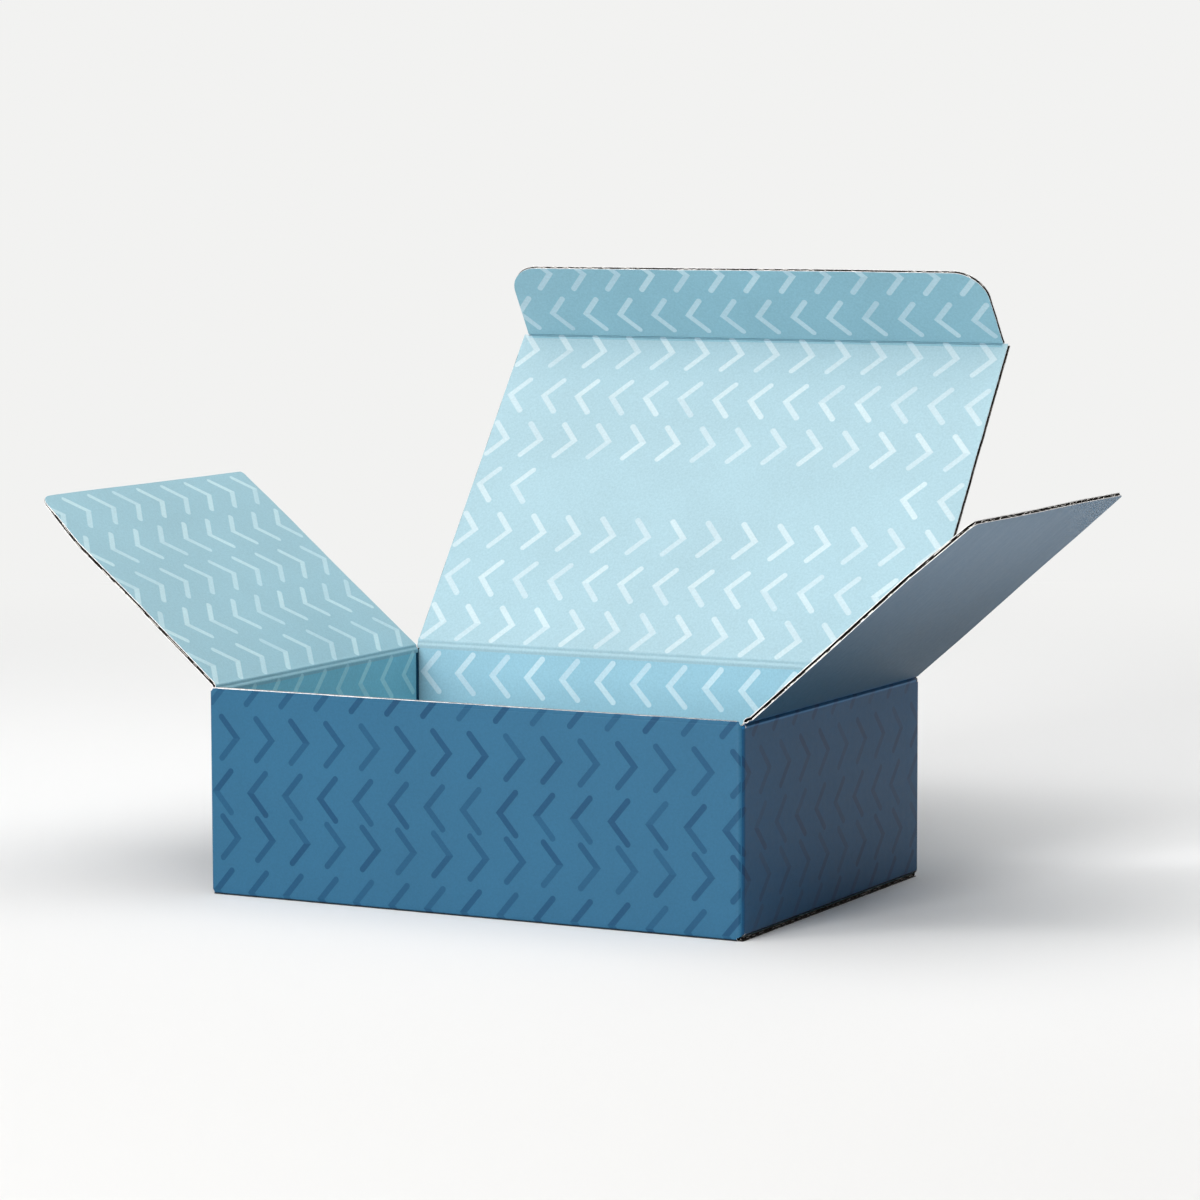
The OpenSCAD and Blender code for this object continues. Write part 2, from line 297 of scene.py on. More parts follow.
def paintedLightOnInk(w, part, flat, along, colour, level):
    # Painted light and shade on one part's ink colour and level: shade at the base fold, a
    # highlight on a side crease's bead, a sheen and hinge shade on a flap's outside
    # painted shade along the fold at the base
    if part in foldShade:
        fold = w.smooth(along, *foldShade[part])
        level = w.math("MULTIPLY", level, w.math("ADD", w.math(
            "MULTIPLY", fold, 1.0 - foldShade["darkest"]), foldShade["darkest"]))
    # painted highlight on the bead below the side crease
    if part == "side":
        bead = w.softLine(along, leftAxis.z - beadHighlight["below"], beadHighlight["width"])
        level = w.math("ADD", level, w.math("MULTIPLY", bead, beadHighlight["lighter"]))
    # painted sheen towards the flap's free edge and painted shade towards its hinge
    if part == "flapOutside":
        streakPlace = w.add("ShaderNodeMapping", {"Vector": flat, "Scale": paintedSheen["streakScale"],
                                                  "Rotation": (0.0, 0.0, paintedSheen["streakTurn"])})
        streak = w.noise(streakPlace, *paintedSheen["streakNoise"])
        far = w.smooth(along, paintedSheen["from"], paintedSheen["to"])
        sheenShare = w.math("MULTIPLY", w.math("MULTIPLY", far, paintedSheen["most"]),
                      w.math("ADD", paintedSheen["even"], w.math("MULTIPLY", streak, paintedSheen["streaky"])))
        colour = w.mix(sheenShare, colour, (*paintedSheen["colour"], 1))
        level = w.math("MULTIPLY", level, w.math("ADD", paintedSheen["thin"], w.math(
            "MULTIPLY", far, 1.0 - paintedSheen["thin"])))
    return colour, level


def paperFace(name, side, rowsName, part=None):
    # side is the board's printed side, part the place whose ink and wear the face takes
    look, part = prints[side], part or rowsName
    material = bpy.data.materials.new(name)
    material.use_nodes = True
    tree = material.node_tree
    w = Wires(tree)
    shader = tree.nodes["Principled BSDF"]
    flat = w.add("ShaderNodeUVMap", uv_map="board")
    split = tree.nodes.new("ShaderNodeSeparateXYZ")
    tree.links.new(flat, split.inputs[0])
    across, along = split.outputs[0], split.outputs[1]
    mask, tone = chevronMarks(w, across, along, rowsName)
    place = w.add("ShaderNodeTexCoord", out=3)
    level = 1.0
    for texture, detail in ((surface["cloud"], 3.0), (surface["grain"], 1.0)):
        spread = w.math("SUBTRACT", w.noise(place, texture["scale"], detail), 0.5)
        level = w.math("ADD", w.math("MULTIPLY", spread, texture["most"]), level)
    # tints of the print that paint the panel's light and shade into its colour
    groundLightTint, markLightTint = paintedLightTints.get(part, ((1, 1, 1), (1, 1, 1)))
    colour = (*(g * i for g, i in zip(look["ground"], groundLightTint)), 1)
    if printRows[rowsName]:
        pair = [(*(m * i for m, i in zip(look[end], markLightTint)), 1) for end in ("dark", "light")]
        colour = w.mix(mask, colour, w.mix(tone, *pair))
    colour, level = paintedLightOnInk(w, part, flat, along, colour, level)
    grey = w.add("ShaderNodeCombineXYZ", {0: level, 1: level, 2: level})
    tree.links.new(w.mix(1.0, colour, grey, "MULTIPLY"), shader.inputs["Base Color"])
    tooth = surface["tooth"]
    ridge = w.math("SINE", w.math("MULTIPLY", across, 2 * math.pi / carton["flutePitch"]))
    rough = w.noise(place, tooth["scale"], 3.0)
    height = w.math("ADD", w.math("MULTIPLY", ridge, surface["ridge"]),
                    w.math("MULTIPLY", rough, tooth["height"]))
    if rowsName == "front":
        line = w.softLine(along, carton["height"] - pressedLine["below"], pressedLine["width"])
        height = w.math("SUBTRACT", height, w.math("MULTIPLY", line, pressedLine["depth"]))
    bump = w.add("ShaderNodeBump", {"Strength": surface["bump"], "Height": height,
                                    "Distance": surface["bumpDepth"]})
    tree.links.new(bump, shader.inputs["Normal"])
    tree.links.new(w.math("ADD", w.math("MULTIPLY", rough, tooth["roughness"]),
                          prints["roughness"]), shader.inputs["Roughness"])
    shader.inputs["Specular IOR Level"].default_value = prints["specular"]
    return material


rawLook = {"bump": 0.4, "bumpDepth": 0.0002, "roughness": 0.85, "specular": 0.2}


def rawPaper(name, low, high, scale, edges):
    # Unprinted paper between two tones, with fibres in it
    material = bpy.data.materials.new(name)
    material.use_nodes = True
    tree = material.node_tree
    w = Wires(tree)
    shader = tree.nodes["Principled BSDF"]
    fibre = w.noise(w.add("ShaderNodeTexCoord", out=3), scale, 3.0)
    shade = w.mix(w.smooth(fibre, *edges), (*low, 1), (*high, 1))
    tree.links.new(shade, shader.inputs["Base Color"])
    bump = w.add("ShaderNodeBump", {"Strength": rawLook["bump"], "Height": fibre,
                                    "Distance": rawLook["bumpDepth"]})
    tree.links.new(bump, shader.inputs["Normal"])
    shader.inputs["Roughness"].default_value = rawLook["roughness"]
    shader.inputs["Specular IOR Level"].default_value = rawLook["specular"]
    return material


raw = {
    "cut": rawPaper("whiteCutEdge", (0.62, 0.61, 0.60), (0.88, 0.87, 0.86), 700, (0.35, 0.6)),
    # the base's cut edges are nearly black: painted shade in the gap under the walls
    "baseCutPaintedShade": rawPaper("baseCutEdgePaintedShade", (0.022, 0.019, 0.018), (0.42, 0.40, 0.38), 260,
                        (0.50, 0.72)),
    "back": rawPaper("facingBack", (0.014, 0.011, 0.009), (0.05, 0.038, 0.03), 420, (0.35, 0.65)),
    "flute": rawPaper("flutingPaper", (0.010, 0.007, 0.006), (0.060, 0.045, 0.034), 330,
                      (0.46, 0.62)),
    "fluteCut": rawPaper("flutingCutEdge", (0.02, 0.016, 0.013), (0.90, 0.86, 0.80), 260,
                         (0.47, 0.55)),
}
faces = {
    "front": paperFace("outerPrintFront", "outer", "front"),
    "side": paperFace("outerPrintSide", "outer", "side"),
    "back": paperFace("outerPrintBack", "outer", "back"),
    "top": paperFace("outerPrintTop", "outer", "top"),
    "outerPlain": paperFace("outerPrintPlain", "outer", "plain"),
    "flapOutside": paperFace("outerPrintFlap", "outer", "plain", "flapOutside"),
    "lidInside": paperFace("innerPrintLid", "inner", "lidInside"),
    "backInside": paperFace("innerPrintBack", "inner", "lidInside", "backInside"),
    "wallInside": paperFace("innerPrintWall", "inner", "flapInside", "wallInside"),
    "tuckInside": paperFace("innerPrintTuck", "inner", "tuckInside"),
    "flapInside": paperFace("innerPrintFlap", "inner", "flapInside"),
    "innerPlain": paperFace("innerPrintPlain", "inner", "plain"),
}
print("materials made:", len(faces) + len(raw))


# Facing papers: each is an open sheet of quads with its print outwards, which Solidify then
# thickens towards the flutes, with a white cut edge and a bare back.

class Sheet:
    def __init__(self, name):
        self.name = name
        self.points, self.prints, self.quads, self.slots = [], [], [], []
        self.materials = []

    def slot(self, material, rim="cut"):
        # Each slot is a print and the finish of the cut edge beside it
        if (material, rim) not in self.materials:
            self.materials.append((material, rim))
        return self.materials.index((material, rim))

    def lay(self, rows, printPlaces):
        # rows: lists of points, with None where the sheet has no paper
        start = {}
        for i, line in enumerate(rows):
            for j, point in enumerate(line):
                if point is not None:
                    start[i, j] = len(self.points)
                    self.points.append(Vector(point))
                    self.prints.append(printPlaces[i][j])
        return start

    def grid(self, rows, printPlaces, material, outward, rim="cut"):
        slot = self.slot(material, rim)
        start = self.lay(rows, printPlaces)
        self.stitch(start, range(len(rows) - 1), range(len(rows[0]) - 1), slot, outward)

    def stitch(self, start, iRange, jRange, slot, outward):
        for i in iRange:
            for j in jRange:
                corners = [start.get(k) for k in ((i, j), (i + 1, j), (i + 1, j + 1), (i, j + 1))]
                if None in corners:
                    continue
                a, b, c, d = (self.points[k] for k in corners)
                facing = (c - a).cross(d - b)
                want = outward(i, j) if callable(outward) else Vector(outward)
                if facing.dot(want) < 0:
                    corners.reverse()
                self.quads.append(corners)
                self.slots.append(slot)

    def take(self, other):
        # Adds another sheet's quads to this one
        first = len(self.points)
        slots = [self.slot(*pair) for pair in other.materials]
        self.points += other.points
        self.prints += other.prints
        self.quads += [[first + k for k in quad] for quad in other.quads]
        self.slots += [slots[k] for k in other.slots]
        return self

    def build(self):
        mesh = bpy.data.meshes.new(self.name)
        mesh.from_pydata([p * 0.001 for p in self.points], [], self.quads)
        layerUv = mesh.uv_layers.new(name="board")
        for loop in mesh.loops:
            layerUv.data[loop.index].uv = self.prints[loop.vertex_index]
        count = len(self.materials)
        for material, _ in self.materials:
            mesh.materials.append(material)
        for _ in range(count):
            mesh.materials.append(raw["back"])
        for _, rim in self.materials:
            mesh.materials.append(raw[rim])
        mesh.polygons.foreach_set("material_index", self.slots)
        piece = bpy.data.objects.new(self.name, mesh)
        scene.collection.objects.link(piece)
        solid = piece.modifiers.new("paper", "SOLIDIFY")
        solid.thickness = carton["paper"] * 0.001
        solid.offset = -1
        solid.use_even_offset = True
        solid.material_offset = count
        solid.material_offset_rim = 2 * count
        return plainMesh(piece)


def plainMesh(piece):
    # The evaluated shape as a mesh of its own, with no modifier left
    graph = bpy.context.evaluated_depsgraph_get()
    graph.update()
    mesh = bpy.data.meshes.new_from_object(piece.evaluated_get(graph),
                                           preserve_all_data_layers=True, depsgraph=graph)
    piece.modifiers.clear()
    piece.data = mesh
    mesh.name = piece.name
    return piece


def shadeSmooth(piece, angle=35):
    piece.data.polygons.foreach_set("use_smooth", [True] * len(piece.data.polygons))
    piece.data.set_sharp_from_angle(angle=math.radians(angle))


def spaced(low, high, step, fine=()):
    count = max(1, round((high - low) / step))
    values = [low + (high - low) * i / count for i in range(count + 1)]
    values += [f for f in fine if low < f < high]
    return sorted(set(round(v, 5) for v in values))


# Relief notches at the corners' tops: the round floor, the width at the top, and the depths
notch = {"radius": 0.95, "flare": 1.1, "front": 1.7, "back": 0.8}


def notchTop(q, top, depth):
    # Height of the paper's edge beside a relief notch, q across the notch's middle
    q = abs(q)
    floor = top - depth + notch["radius"]
    if q >= notch["flare"]:
        return top
    if q > notch["radius"]:
        share = (q - notch["radius"]) / (notch["flare"] - notch["radius"])
        return min(top, floor + (top - floor) * share)
    return min(top, floor - math.sqrt(max(0.0, notch["radius"] ** 2 - q * q)))


walls = {
    "sideTop": 85.23,
    "backTop": 87.23,
    "fold": 1.3,          # radius of the outer paper's fold along the base
    "tightCorner": 1.3,   # radius of the outer paper at the front left and back right corners
    "slotEnd": 83.3,      # the left wall's raw edge, beside the dark slot
    "cornerTop": 87.3,    # top of a front corner's half that belongs to the side wall
    "cornerSteps": 10,
    "cornerHalf": 0.45,   # share of a corner that carries the print of the wall before it
    "step": 7.0,          # distance between columns, and closer ones beside a notch
    "fineStep": 0.3,
    "fineCount": 10,
    "tabThick": 1.0,
    "tabEnd": 63.0,
    "tabLow": 7.2,
    "tabHigh": 82.2,
    "tabBevel": 4.0,
    "tabStep": 0.15,
    "tabPressed": 0.1,    # how far the tab is pressed into the left wall's board
    "tabPrint": 140.0,    # place of the tab on the flat print
}


def ringColumns(inward):
    # Columns of the wall tube, counter-clockwise from the left wall's raw edge at the back.
    # inward is the distance from the outer face: 0 for the outer paper, the board for the inner.
    columns = []
    tight = cornerR if inward else walls["tightCorner"]
    foldCentre = baseR if inward else walls["fold"]

    def corner(cx, cy, bendR, a, cutTop, depth, before, after, lows, inset=lambda share: 0):
        # A round corner from angle a on, with the tops before and after its notch
        steps = walls["cornerSteps"]
        for i in range(1, steps):
            share = i / steps
            angle = math.radians(a + 90 * share)
            r = bendR - inward + inset(share)
            q = r * math.sin(angle - math.radians(a + 45))
            top = min(notchTop(q, cutTop, depth), after if q > 0 else before)
            columns.append({"x": cx + r * math.cos(angle), "y": cy + r * math.sin(angle),
                            "normal": (math.cos(angle), math.sin(angle)),
                            "low": lows[0] + (lows[1] - lows[0]) * share, "high": top,
                            "wall": "corner", "share": share,
                            "after": share > walls["cornerHalf"],
                            "run": (bendR - inward) * math.pi / 2})

    def straight(axis, fixed, start, end, normal, low, high, wall, ends):
        # ends: (corner centre along the axis, its radius, top beside the notch, its depth)
        sign = 1 if end > start else -1
        steps = [sign * walls["fineStep"] * i for i in range(1, walls["fineCount"] + 1)]
        fine = [start + step for step in steps] + [end - step for step in steps]
        values = spaced(min(start, end), max(start, end), walls["step"], fine)
        if sign < 0:
            values.reverse()
        for value in values:
            x, y = (value, fixed) if axis == "x" else (fixed, value)
            top = high
            for centre, bendR, own, depth in ends:
                q = (abs(value - centre) + bendR - inward) / math.sqrt(2)
                top = min(top, notchTop(q, own, depth))
            columns.append({"x": x, "y": y, "normal": normal, "low": low, "high": top,
                            "wall": wall})

    side, back, front = walls["sideTop"], walls["backTop"], carton["height"]
    near, deep, shallow = walls["cornerTop"], notch["front"], notch["back"]
    low, lowSide = foldCentre, innerBase + foldCentre
    tx, ty, cx, cy = halfW - tight, halfD - tight, halfW - cornerR, halfD - cornerR
    tabShift = walls["tabThick"]
    straight("y", inward - halfW, walls["slotEnd"], -ty, (-1, 0), lowSide, side, "left",
             [(-ty, tight, front, deep)])
    corner(-tx, -ty, tight, 180, front, deep, near, front, (lowSide, low))
    straight("x", inward - halfD, -tx, cx, (0, -1), low, front, "front",
             [(-tx, tight, front, deep), (cx, cornerR, front, deep)])
    corner(cx, -cy, cornerR, 270, front, deep, front, near, (low, lowSide))
    straight("y", halfW - inward, -cy, ty, (1, 0), lowSide, side, "right",
             [(-cy, cornerR, front, deep), (ty, tight, back, shallow)])
    corner(tx, ty, tight, 0, back, shallow, side, back, (lowSide, low))
    straight("x", halfD - inward, tx, -cx - tabShift, (0, 1), low, back, "back",
             [(tx, tight, back, shallow), (-cx - tabShift, cornerR, back, shallow)])
    pressed = board - tabShift + walls["tabPressed"] if inward else 0
    corner(-cx - tabShift, cy, cornerR, 90, back, shallow, back, back, (low, low),
           lambda share: pressed * share)
    tabX = -halfW - tabShift + (inward - pressed if inward else 0)
    for value in spaced(walls["tabEnd"], cy, 3.0, [cy - walls["tabStep"]])[::-1]:
        bevel = max(0.0, walls["tabBevel"] - (value - walls["tabEnd"]))
        step = min(1.0, (cy - value) / walls["tabStep"])
        columns.append({"x": tabX, "y": value, "normal": (-1, 0),
                        "low": low + (walls["tabLow"] - low) * step + bevel,
                        "high": back - (back - walls["tabHigh"]) * step - bevel, "wall": "tab"})
    return columns


heightShares = [0, 0.02, 0.1, 0.2, 0.3, 0.4, 0.5, 0.6, 0.7, 0.8, 0.88, 0.93, 0.955, 0.975, 0.99, 1]
foldSteps = 6
# Worn white band along the front wall's raw edge: its width at the two ends and its unevenness
rubbed = {"left": 0.40, "right": 0.02, "uneven": 0.20, "patch": 1.3, "least": 0.03}


def wallPrint(column, z, outside):
    # Place of a point of the walls on the flat print
    x, y, wall = column["x"], column["y"], column["wall"]
    if wall == "front":
        return (x, z) if outside else (-x, z)
    if wall in ("right", "left"):
        return (y if wall == "right" else -y, z) if outside else (y, z - leftAxis.z)
    if wall == "back":
        return (-x, z) if outside else (x, z - lidAxis.z)
    return (walls["tabPrint"] + halfD - y, z)


def ownWall(columns, k):
    # The wall's column that is nearest to a corner's column on its own half of the corner
    pool = columns[k:] if columns[k]["after"] else columns[k::-1]
    return next(c for c in pool if c["wall"] != "corner")


def printPlace(columns, k, z, outside):
    # The print runs round the corners: there the place grows with the arc's length
    column = columns[k]
    if column["wall"] != "corner":
        return wallPrint(column, z, outside)
    near = ownWall(columns, k)
    across, along = wallPrint(near, z, outside)
    run = (column["share"] - (1 if column["after"] else 0)) * column["run"]
    forward = outside or near["wall"] in ("right", "tab")
    return (across + (run if forward else -run), along)


def wallRow(column, foldR, outside):
    # Points of one column, from the base's fold up to the paper's edge
    x, y, (nx, ny) = column["x"], column["y"], column["normal"]
    low, high = column["low"], column["high"]
    line = [None] * foldSteps
    if column["wall"] in ("front", "back", "left", "right"):
        for i in range(foldSteps):
            angle = math.pi / 2 * i / foldSteps
            back = foldR * (1 - math.sin(angle))
            line[i] = (x - nx * back, y - ny * back, low - foldR * math.cos(angle))
    line += [(x, y, low + (high - low) * share) for share in heightShares]
    if column["wall"] == "front" and outside:
        # The last row below the raw edge borders the worn band
        across = 0.5 + x / carton["width"]
        band = rubbed["left"] + (rubbed["right"] - rubbed["left"]) * across
        band += rubbed["uneven"] * noise.noise(Vector((x / rubbed["patch"], 0, 5)))
        line[-2] = (x, y, high - max(rubbed["least"], band))
    return line


def stripWall(columns, k):
    # The wall whose print the strip after a column carries, or None where there is no strip
    one, two = columns[k], columns[k + 1]
    kinds = (one["wall"], two["wall"])
    if "corner" not in kinds:
        return kinds[0] if kinds[0] == kinds[1] else None
    if one["x"] < 0 < one["y"]:
        return "tab"
    wall = kinds[0] if kinds[0] != "corner" else kinds[1]
    return ownWall(columns, k)["wall"] if wall == "corner" else wall


outerFaces = {"front": "front", "right": "side", "left": "side", "back": "back",
              "tab": "outerPlain"}
# Inside, the tab and the back left corner take the dark outer print: painted shade in the slot at
# that corner
innerFaces = {"front": "innerPlain", "right": "wallInside", "left": "wallInside",
              "back": "backInside", "tab": "outerPlain"}


def buildWalls(name, inward):
    outside = inward == 0
    sign = 1 if outside else -1
    columns = ringColumns(inward)
    foldR = baseR - inward if inward else walls["fold"]
    rows = [wallRow(column, foldR, outside) for column in columns]
    places = [[printPlace(columns, k, point[2], outside) if point else None for point in line]
              for k, line in enumerate(rows)]
    sheet = Sheet(name)
    worn = sheet.slot(raw["cut"])
    start = sheet.lay(rows, places)
    last = len(rows[0]) - 1
    for k in range(len(columns) - 1):
        one, two = columns[k], columns[k + 1]
        wall = stripWall(columns, k)
        if wall is None:
            continue
        nx = (one["normal"][0] + two["normal"][0]) * sign
        ny = (one["normal"][1] + two["normal"][1]) * sign
        slot = sheet.slot(faces[(outerFaces if outside else innerFaces)[wall]])

        def outward(i, j, nx=nx, ny=ny):
            return Vector((nx, ny, -2 * sign if j < foldSteps else 0))

        edged = outside and one["wall"] == "front" == two["wall"]
        sheet.stitch(start, [k], range(last - 1 if edged else last), slot, outward)
        if edged:
            sheet.stitch(start, [k], [last - 1], worn, outward)
    return sheet


def addPlate(sheet, outline, z, material, up):
    # A flat sheet of the base, from rows of (place in Y, first end, last end)
    rows = [[(x0 + (x1 - x0) * i / plateSteps, y, z) for i in range(plateSteps + 1)]
            for y, x0, x1 in outline]
    sheet.grid(rows, [[point[:2] for point in line] for line in rows], material,
               (0, 0, 1 if up else -1), "baseCutPaintedShade")


plateSteps = 8
base = {
    "edge": halfW - 0.4,
    "seam": -8.0,
    "seamGap": 0.6,
    "rampStart": -12.0,   # where the tongue leaves the front panel, and where it lies on the back
    "rampEnd": -4.0,
    "tongueHalf": 56.0,
    "slotHalf": 57.0,
    "slotEnd": -3.0,
    "tongueTip": 26.0,
    "tongueRadius": 8.0,
    "sideLength": 62.0,
    "sideTaper": 9.0,
}
frontEnd = base["seam"] - base["seamGap"] / 2
backStart = base["seam"] + base["seamGap"] / 2


def basePlates(outside):
    # The base's outer panels, its tongue and its inner panels
    sheet = Sheet("base")
    low = 0.0 if outside else board
    high = low + innerBase
    fold = walls["fold"] if outside else baseR
    edge, cy = base["edge"], halfD - fold
    slotEnd, rampStart = base["slotEnd"], base["rampStart"]
    material = faces["outerPlain" if outside else "innerPlain"]
    facing = (0, 0, -1 if outside else 1)
    addPlate(sheet, [(-cy, -edge, edge), (rampStart, -edge, edge)], low, material, not outside)
    for side in (-1, 1):
        ends = sorted((side * edge, side * base["slotHalf"]))
        for first, last in ((rampStart, frontEnd), (backStart, slotEnd)):
            addPlate(sheet, [(first, *ends), (last, *ends)], low, material, not outside)
    addPlate(sheet, [(slotEnd, -edge, edge), (cy, -edge, edge)], low, material, not outside)
    half, tip, r = base["tongueHalf"], base["tongueTip"], base["tongueRadius"]
    rows = [(rampStart, half, low), (base["rampEnd"], half, high), (tip - r, half, high)]
    for i in range(1, 9):
        angle = math.radians(90 * i / 8)
        rows.append((tip - r + r * math.sin(angle), half - r + r * math.cos(angle), high))
    shares = [2 * i / plateSteps - 1 for i in range(plateSteps + 1)]
    points = [[(width * share, y, z) for share in shares] for y, width, z in rows]
    sheet.grid(points, [[point[:2] for point in line] for line in points], material, facing)
    halfY = halfD - cornerR
    for side in (-1, 1):
        ends = [(side * (halfW - fold), halfY),
                (side * (halfW - base["sideLength"]), halfY - base["sideTaper"])]
        points = [[(x, reach * share, high) for share in shares] for x, reach in ends]
        sheet.grid(points, [[(p[1], p[0]) for p in line] for line in points],
                   material if outside else faces["flapInside"], facing)
    return sheet


print("walls and base laid out")


# Moving panels: each lies in its own plane, across and along from its hinge line

def fromUp(degrees):
    # How far a panel of length 1 reaches out and up
    return math.sin(math.radians(degrees)), math.cos(math.radians(degrees))


def panelFrame(axis, along, across):
    along, across = Vector(along), Vector(across)
    inner = across.cross(along)
    return {"origin": axis, "along": along, "across": across, "inner": inner}


lidSin, lidCos = fromUp(rest["lid"])
tuckSin, tuckCos = fromUp(rest["tuck"])
leftCos, leftSin = fromUp(90 - rest["left"])
rightCos, rightSin = fromUp(90 - rest["right"])
planes = {
    "lid": panelFrame(lidAxis, (0, lidSin, lidCos), (1, 0, 0)),
    "tuck": panelFrame(tuckAxis, (0, -tuckSin, tuckCos), (1, 0, 0)),
    "left": panelFrame(leftAxis, (-leftCos, 0, leftSin), (0, 1, 0)),
    "right": panelFrame(rightAxis, (rightCos, 0, rightSin), (0, -1, 0)),
    "backWall": panelFrame(lidAxis, (0, 0, 1), (1, 0, 0)),
    "leftWall": panelFrame(leftAxis, (0, 0, 1), (0, 1, 0)),
    "rightWall": panelFrame(rightAxis, (0, 0, 1), (0, -1, 0)),
}


def onPlane(plane, u, v, w):
    p = planes[plane]
    return p["origin"] + p["across"] * u + p["along"] * v + p["inner"] * w


panels = {
    "lid": {"length": 172.1, "half": 124.25, "inset": 0.45},   # inset of the inner paper's sides
    "tuck": {"length": 40.5, "half": 121.53, "taper": 0.8, "radius": 15.0},
    "left": {"length": 121.5, "near": -82.1, "far": 85.2, "straight": 92.0, "taper": 4.6,
             "frontRadius": 6.5, "backRadius": 2.0, "flare": 1.3, "flareRun": 54.0},
    "right": {"length": 125.0, "near": -82.1, "far": 85.2, "straight": 92.0, "taper": 4.6,
              "frontRadius": 5.0, "backRadius": 2.0},
}
ears = {"inner": 121.8, "reach": 0.35}   # the lid's corners beside the tuck crease


def lidRows():
    size = panels["lid"]
    low, high = creaseHalf, size["length"] - creaseHalf
    values = spaced(low, high, 6.0) + [high + creaseHalf / 2, size["length"] - ears["reach"]]
    return [(v, -size["half"], size["half"]) for v in values]


def tuckRows():
    size = panels["tuck"]
    length, r = size["length"], size["radius"]
    narrow = size["half"] - size["taper"]
    rows = [(v, size["half"] - size["taper"] * v / (length - r))
            for v in spaced(creaseHalf, length - r, 5.0)]
    for i in range(1, 15):
        angle = math.radians(90 * i / 14)
        rows.append((length - r + r * math.sin(angle), narrow - r + r * math.cos(angle)))
    return [(v, -half, half) for v, half in rows]


def flapRows(which):
    # Front and back end of the side flap in Y, row by row away from the hinge
    size = panels[which]
    length, rf, rb = size["length"], size["frontRadius"], size["backRadius"]
    tipNear = size["near"] + size["taper"]
    run = length - rf - size["straight"]
    values = spaced(creaseHalf, length - rf, 6.0, [size["straight"]])
    values += [length - rf + rf * math.sin(math.radians(90 * i / 12)) for i in range(1, 13)]
    rows = []
    for v in values:
        near = size["near"] + size["taper"] * max(0.0, min(1.0, (v - size["straight"]) / run))
        if "flare" in size:
            near -= size["flare"] * max(0.0, 1 - v / size["flareRun"])
        if v > length - rf:
            near = tipNear + rf - math.sqrt(max(0.0, rf ** 2 - (v - length + rf) ** 2))
        far = size["far"]
        if v > length - rb:
            far -= rb - math.sqrt(max(0.0, rb ** 2 - (v - length + rb) ** 2))
        rows.append((v, near, far))
    return rows


# A real panel bows and ripples a little, and its raw edges stray from their lines
uneven = {
    "bow": {"most": 0.45, "across": 75.0, "along": 60.0},
    "ripple": {"most": 0.07, "across": 14.0, "along": 22.0, "seed": 40},
    "fray": {"most": 0.22, "along": 9.0, "fade": 8.0, "narrow": 40, "seeds": (3.7, 9.1)},
    "fadeAlong": 25.0,
    "fadeAcross": 20.0,
    "length": {"lid": 172.1, "tuck": 40.5, "left": 123.0, "right": 123.0},
    "seed": {"lid": 3.1, "tuck": 7.7, "left": 12.9, "right": 21.3},
}


def bow(which, u, v):
    # Height of a panel's bow, none at its creases
    reach = v - creaseHalf
    if which == "lid":
        reach = min(v, uneven["length"]["lid"] - v) - creaseHalf
    fade = min(1.0, max(0.0, reach) / uneven["fadeAlong"])
    if which == "lid":
        fade *= min(1.0, max(0.0, panels["lid"]["half"] - abs(u)) / uneven["fadeAcross"])
    wave, ripple, seed = uneven["bow"], uneven["ripple"], uneven["seed"][which]
    height = wave["most"] * noise.noise(Vector((u / wave["across"], v / wave["along"], seed)))
    return fade * (height + ripple["most"] * noise.noise(
        Vector((u / ripple["across"], v / ripple["along"], seed + ripple["seed"]))))


pinched = {"u": -79.0, "v": 121.5, "reach": 9.0, "share": 0.62}   # the left flap's crushed tip


def thin(which, u, v):
    # Share of the board's thickness that is left at a point of a panel
    if which != "left":
        return 1.0
    away = math.hypot(u - pinched["u"], v - pinched["v"]) / pinched["reach"]
    return 1 - pinched["share"] * math.exp(-away * away)


def frayed(which, v, side):
    # How far a raw edge strays from its line
    fray = uneven["fray"]
    fade = min(1.0, max(0.0, min(v, uneven["length"][which] - v) - creaseHalf) / fray["fade"])
    panelSeed, sideSeed = fray["seeds"]
    seed = len(which) * panelSeed + side * sideSeed
    return fade * fray["most"] * noise.noise(Vector((v / fray["along"], seed, 0.0)))


def buildPanel(name, which, rows, inside, material):
    # rows are (along, first end, last end); the flaps' ends are given in Y
    sheet = Sheet(name)
    offset = board / 2 if inside else -board / 2
    inset = panels[which].get("inset", 0.0) if inside else 0.0
    flip = -1 if which == "right" else 1
    narrow = uneven["fray"]["narrow"]
    ear = 0.5 - ears["inner"] / (2 * panels["lid"]["half"])
    edge = [0, 0.004, ear, 0.02, 0.06]
    shares = edge + [i / 20 for i in range(2, 19)] + [1 - share for share in reversed(edge)]
    points, places = [], []
    for v, first, last in rows:
        first, last = first + inset, last - inset
        line, flat = [], []
        beside = which == "lid" and v > panels["lid"]["length"] - creaseHalf
        for share in shares:
            if beside and ear < share < 1 - ear:
                line.append(None)
                flat.append(None)
                continue
            a = first + (last - first) * share
            a += frayed(which, v, -1) * (1 - share) ** narrow
            a += frayed(which, v, 1) * share ** narrow
            u = a * flip
            line.append(onPlane(which, u, v, offset * thin(which, u, v) + bow(which, u, v)))
            flat.append((-u if not inside and which in ("lid", "tuck") else a, v))
        points.append(line)
        places.append(flat)
    want = planes[which]["inner"] * (1 if inside else -1)
    sheet.grid(points, places, material, want)
    return sheet.build()


# Creases: both papers dip towards each other along the hinge and bend with it

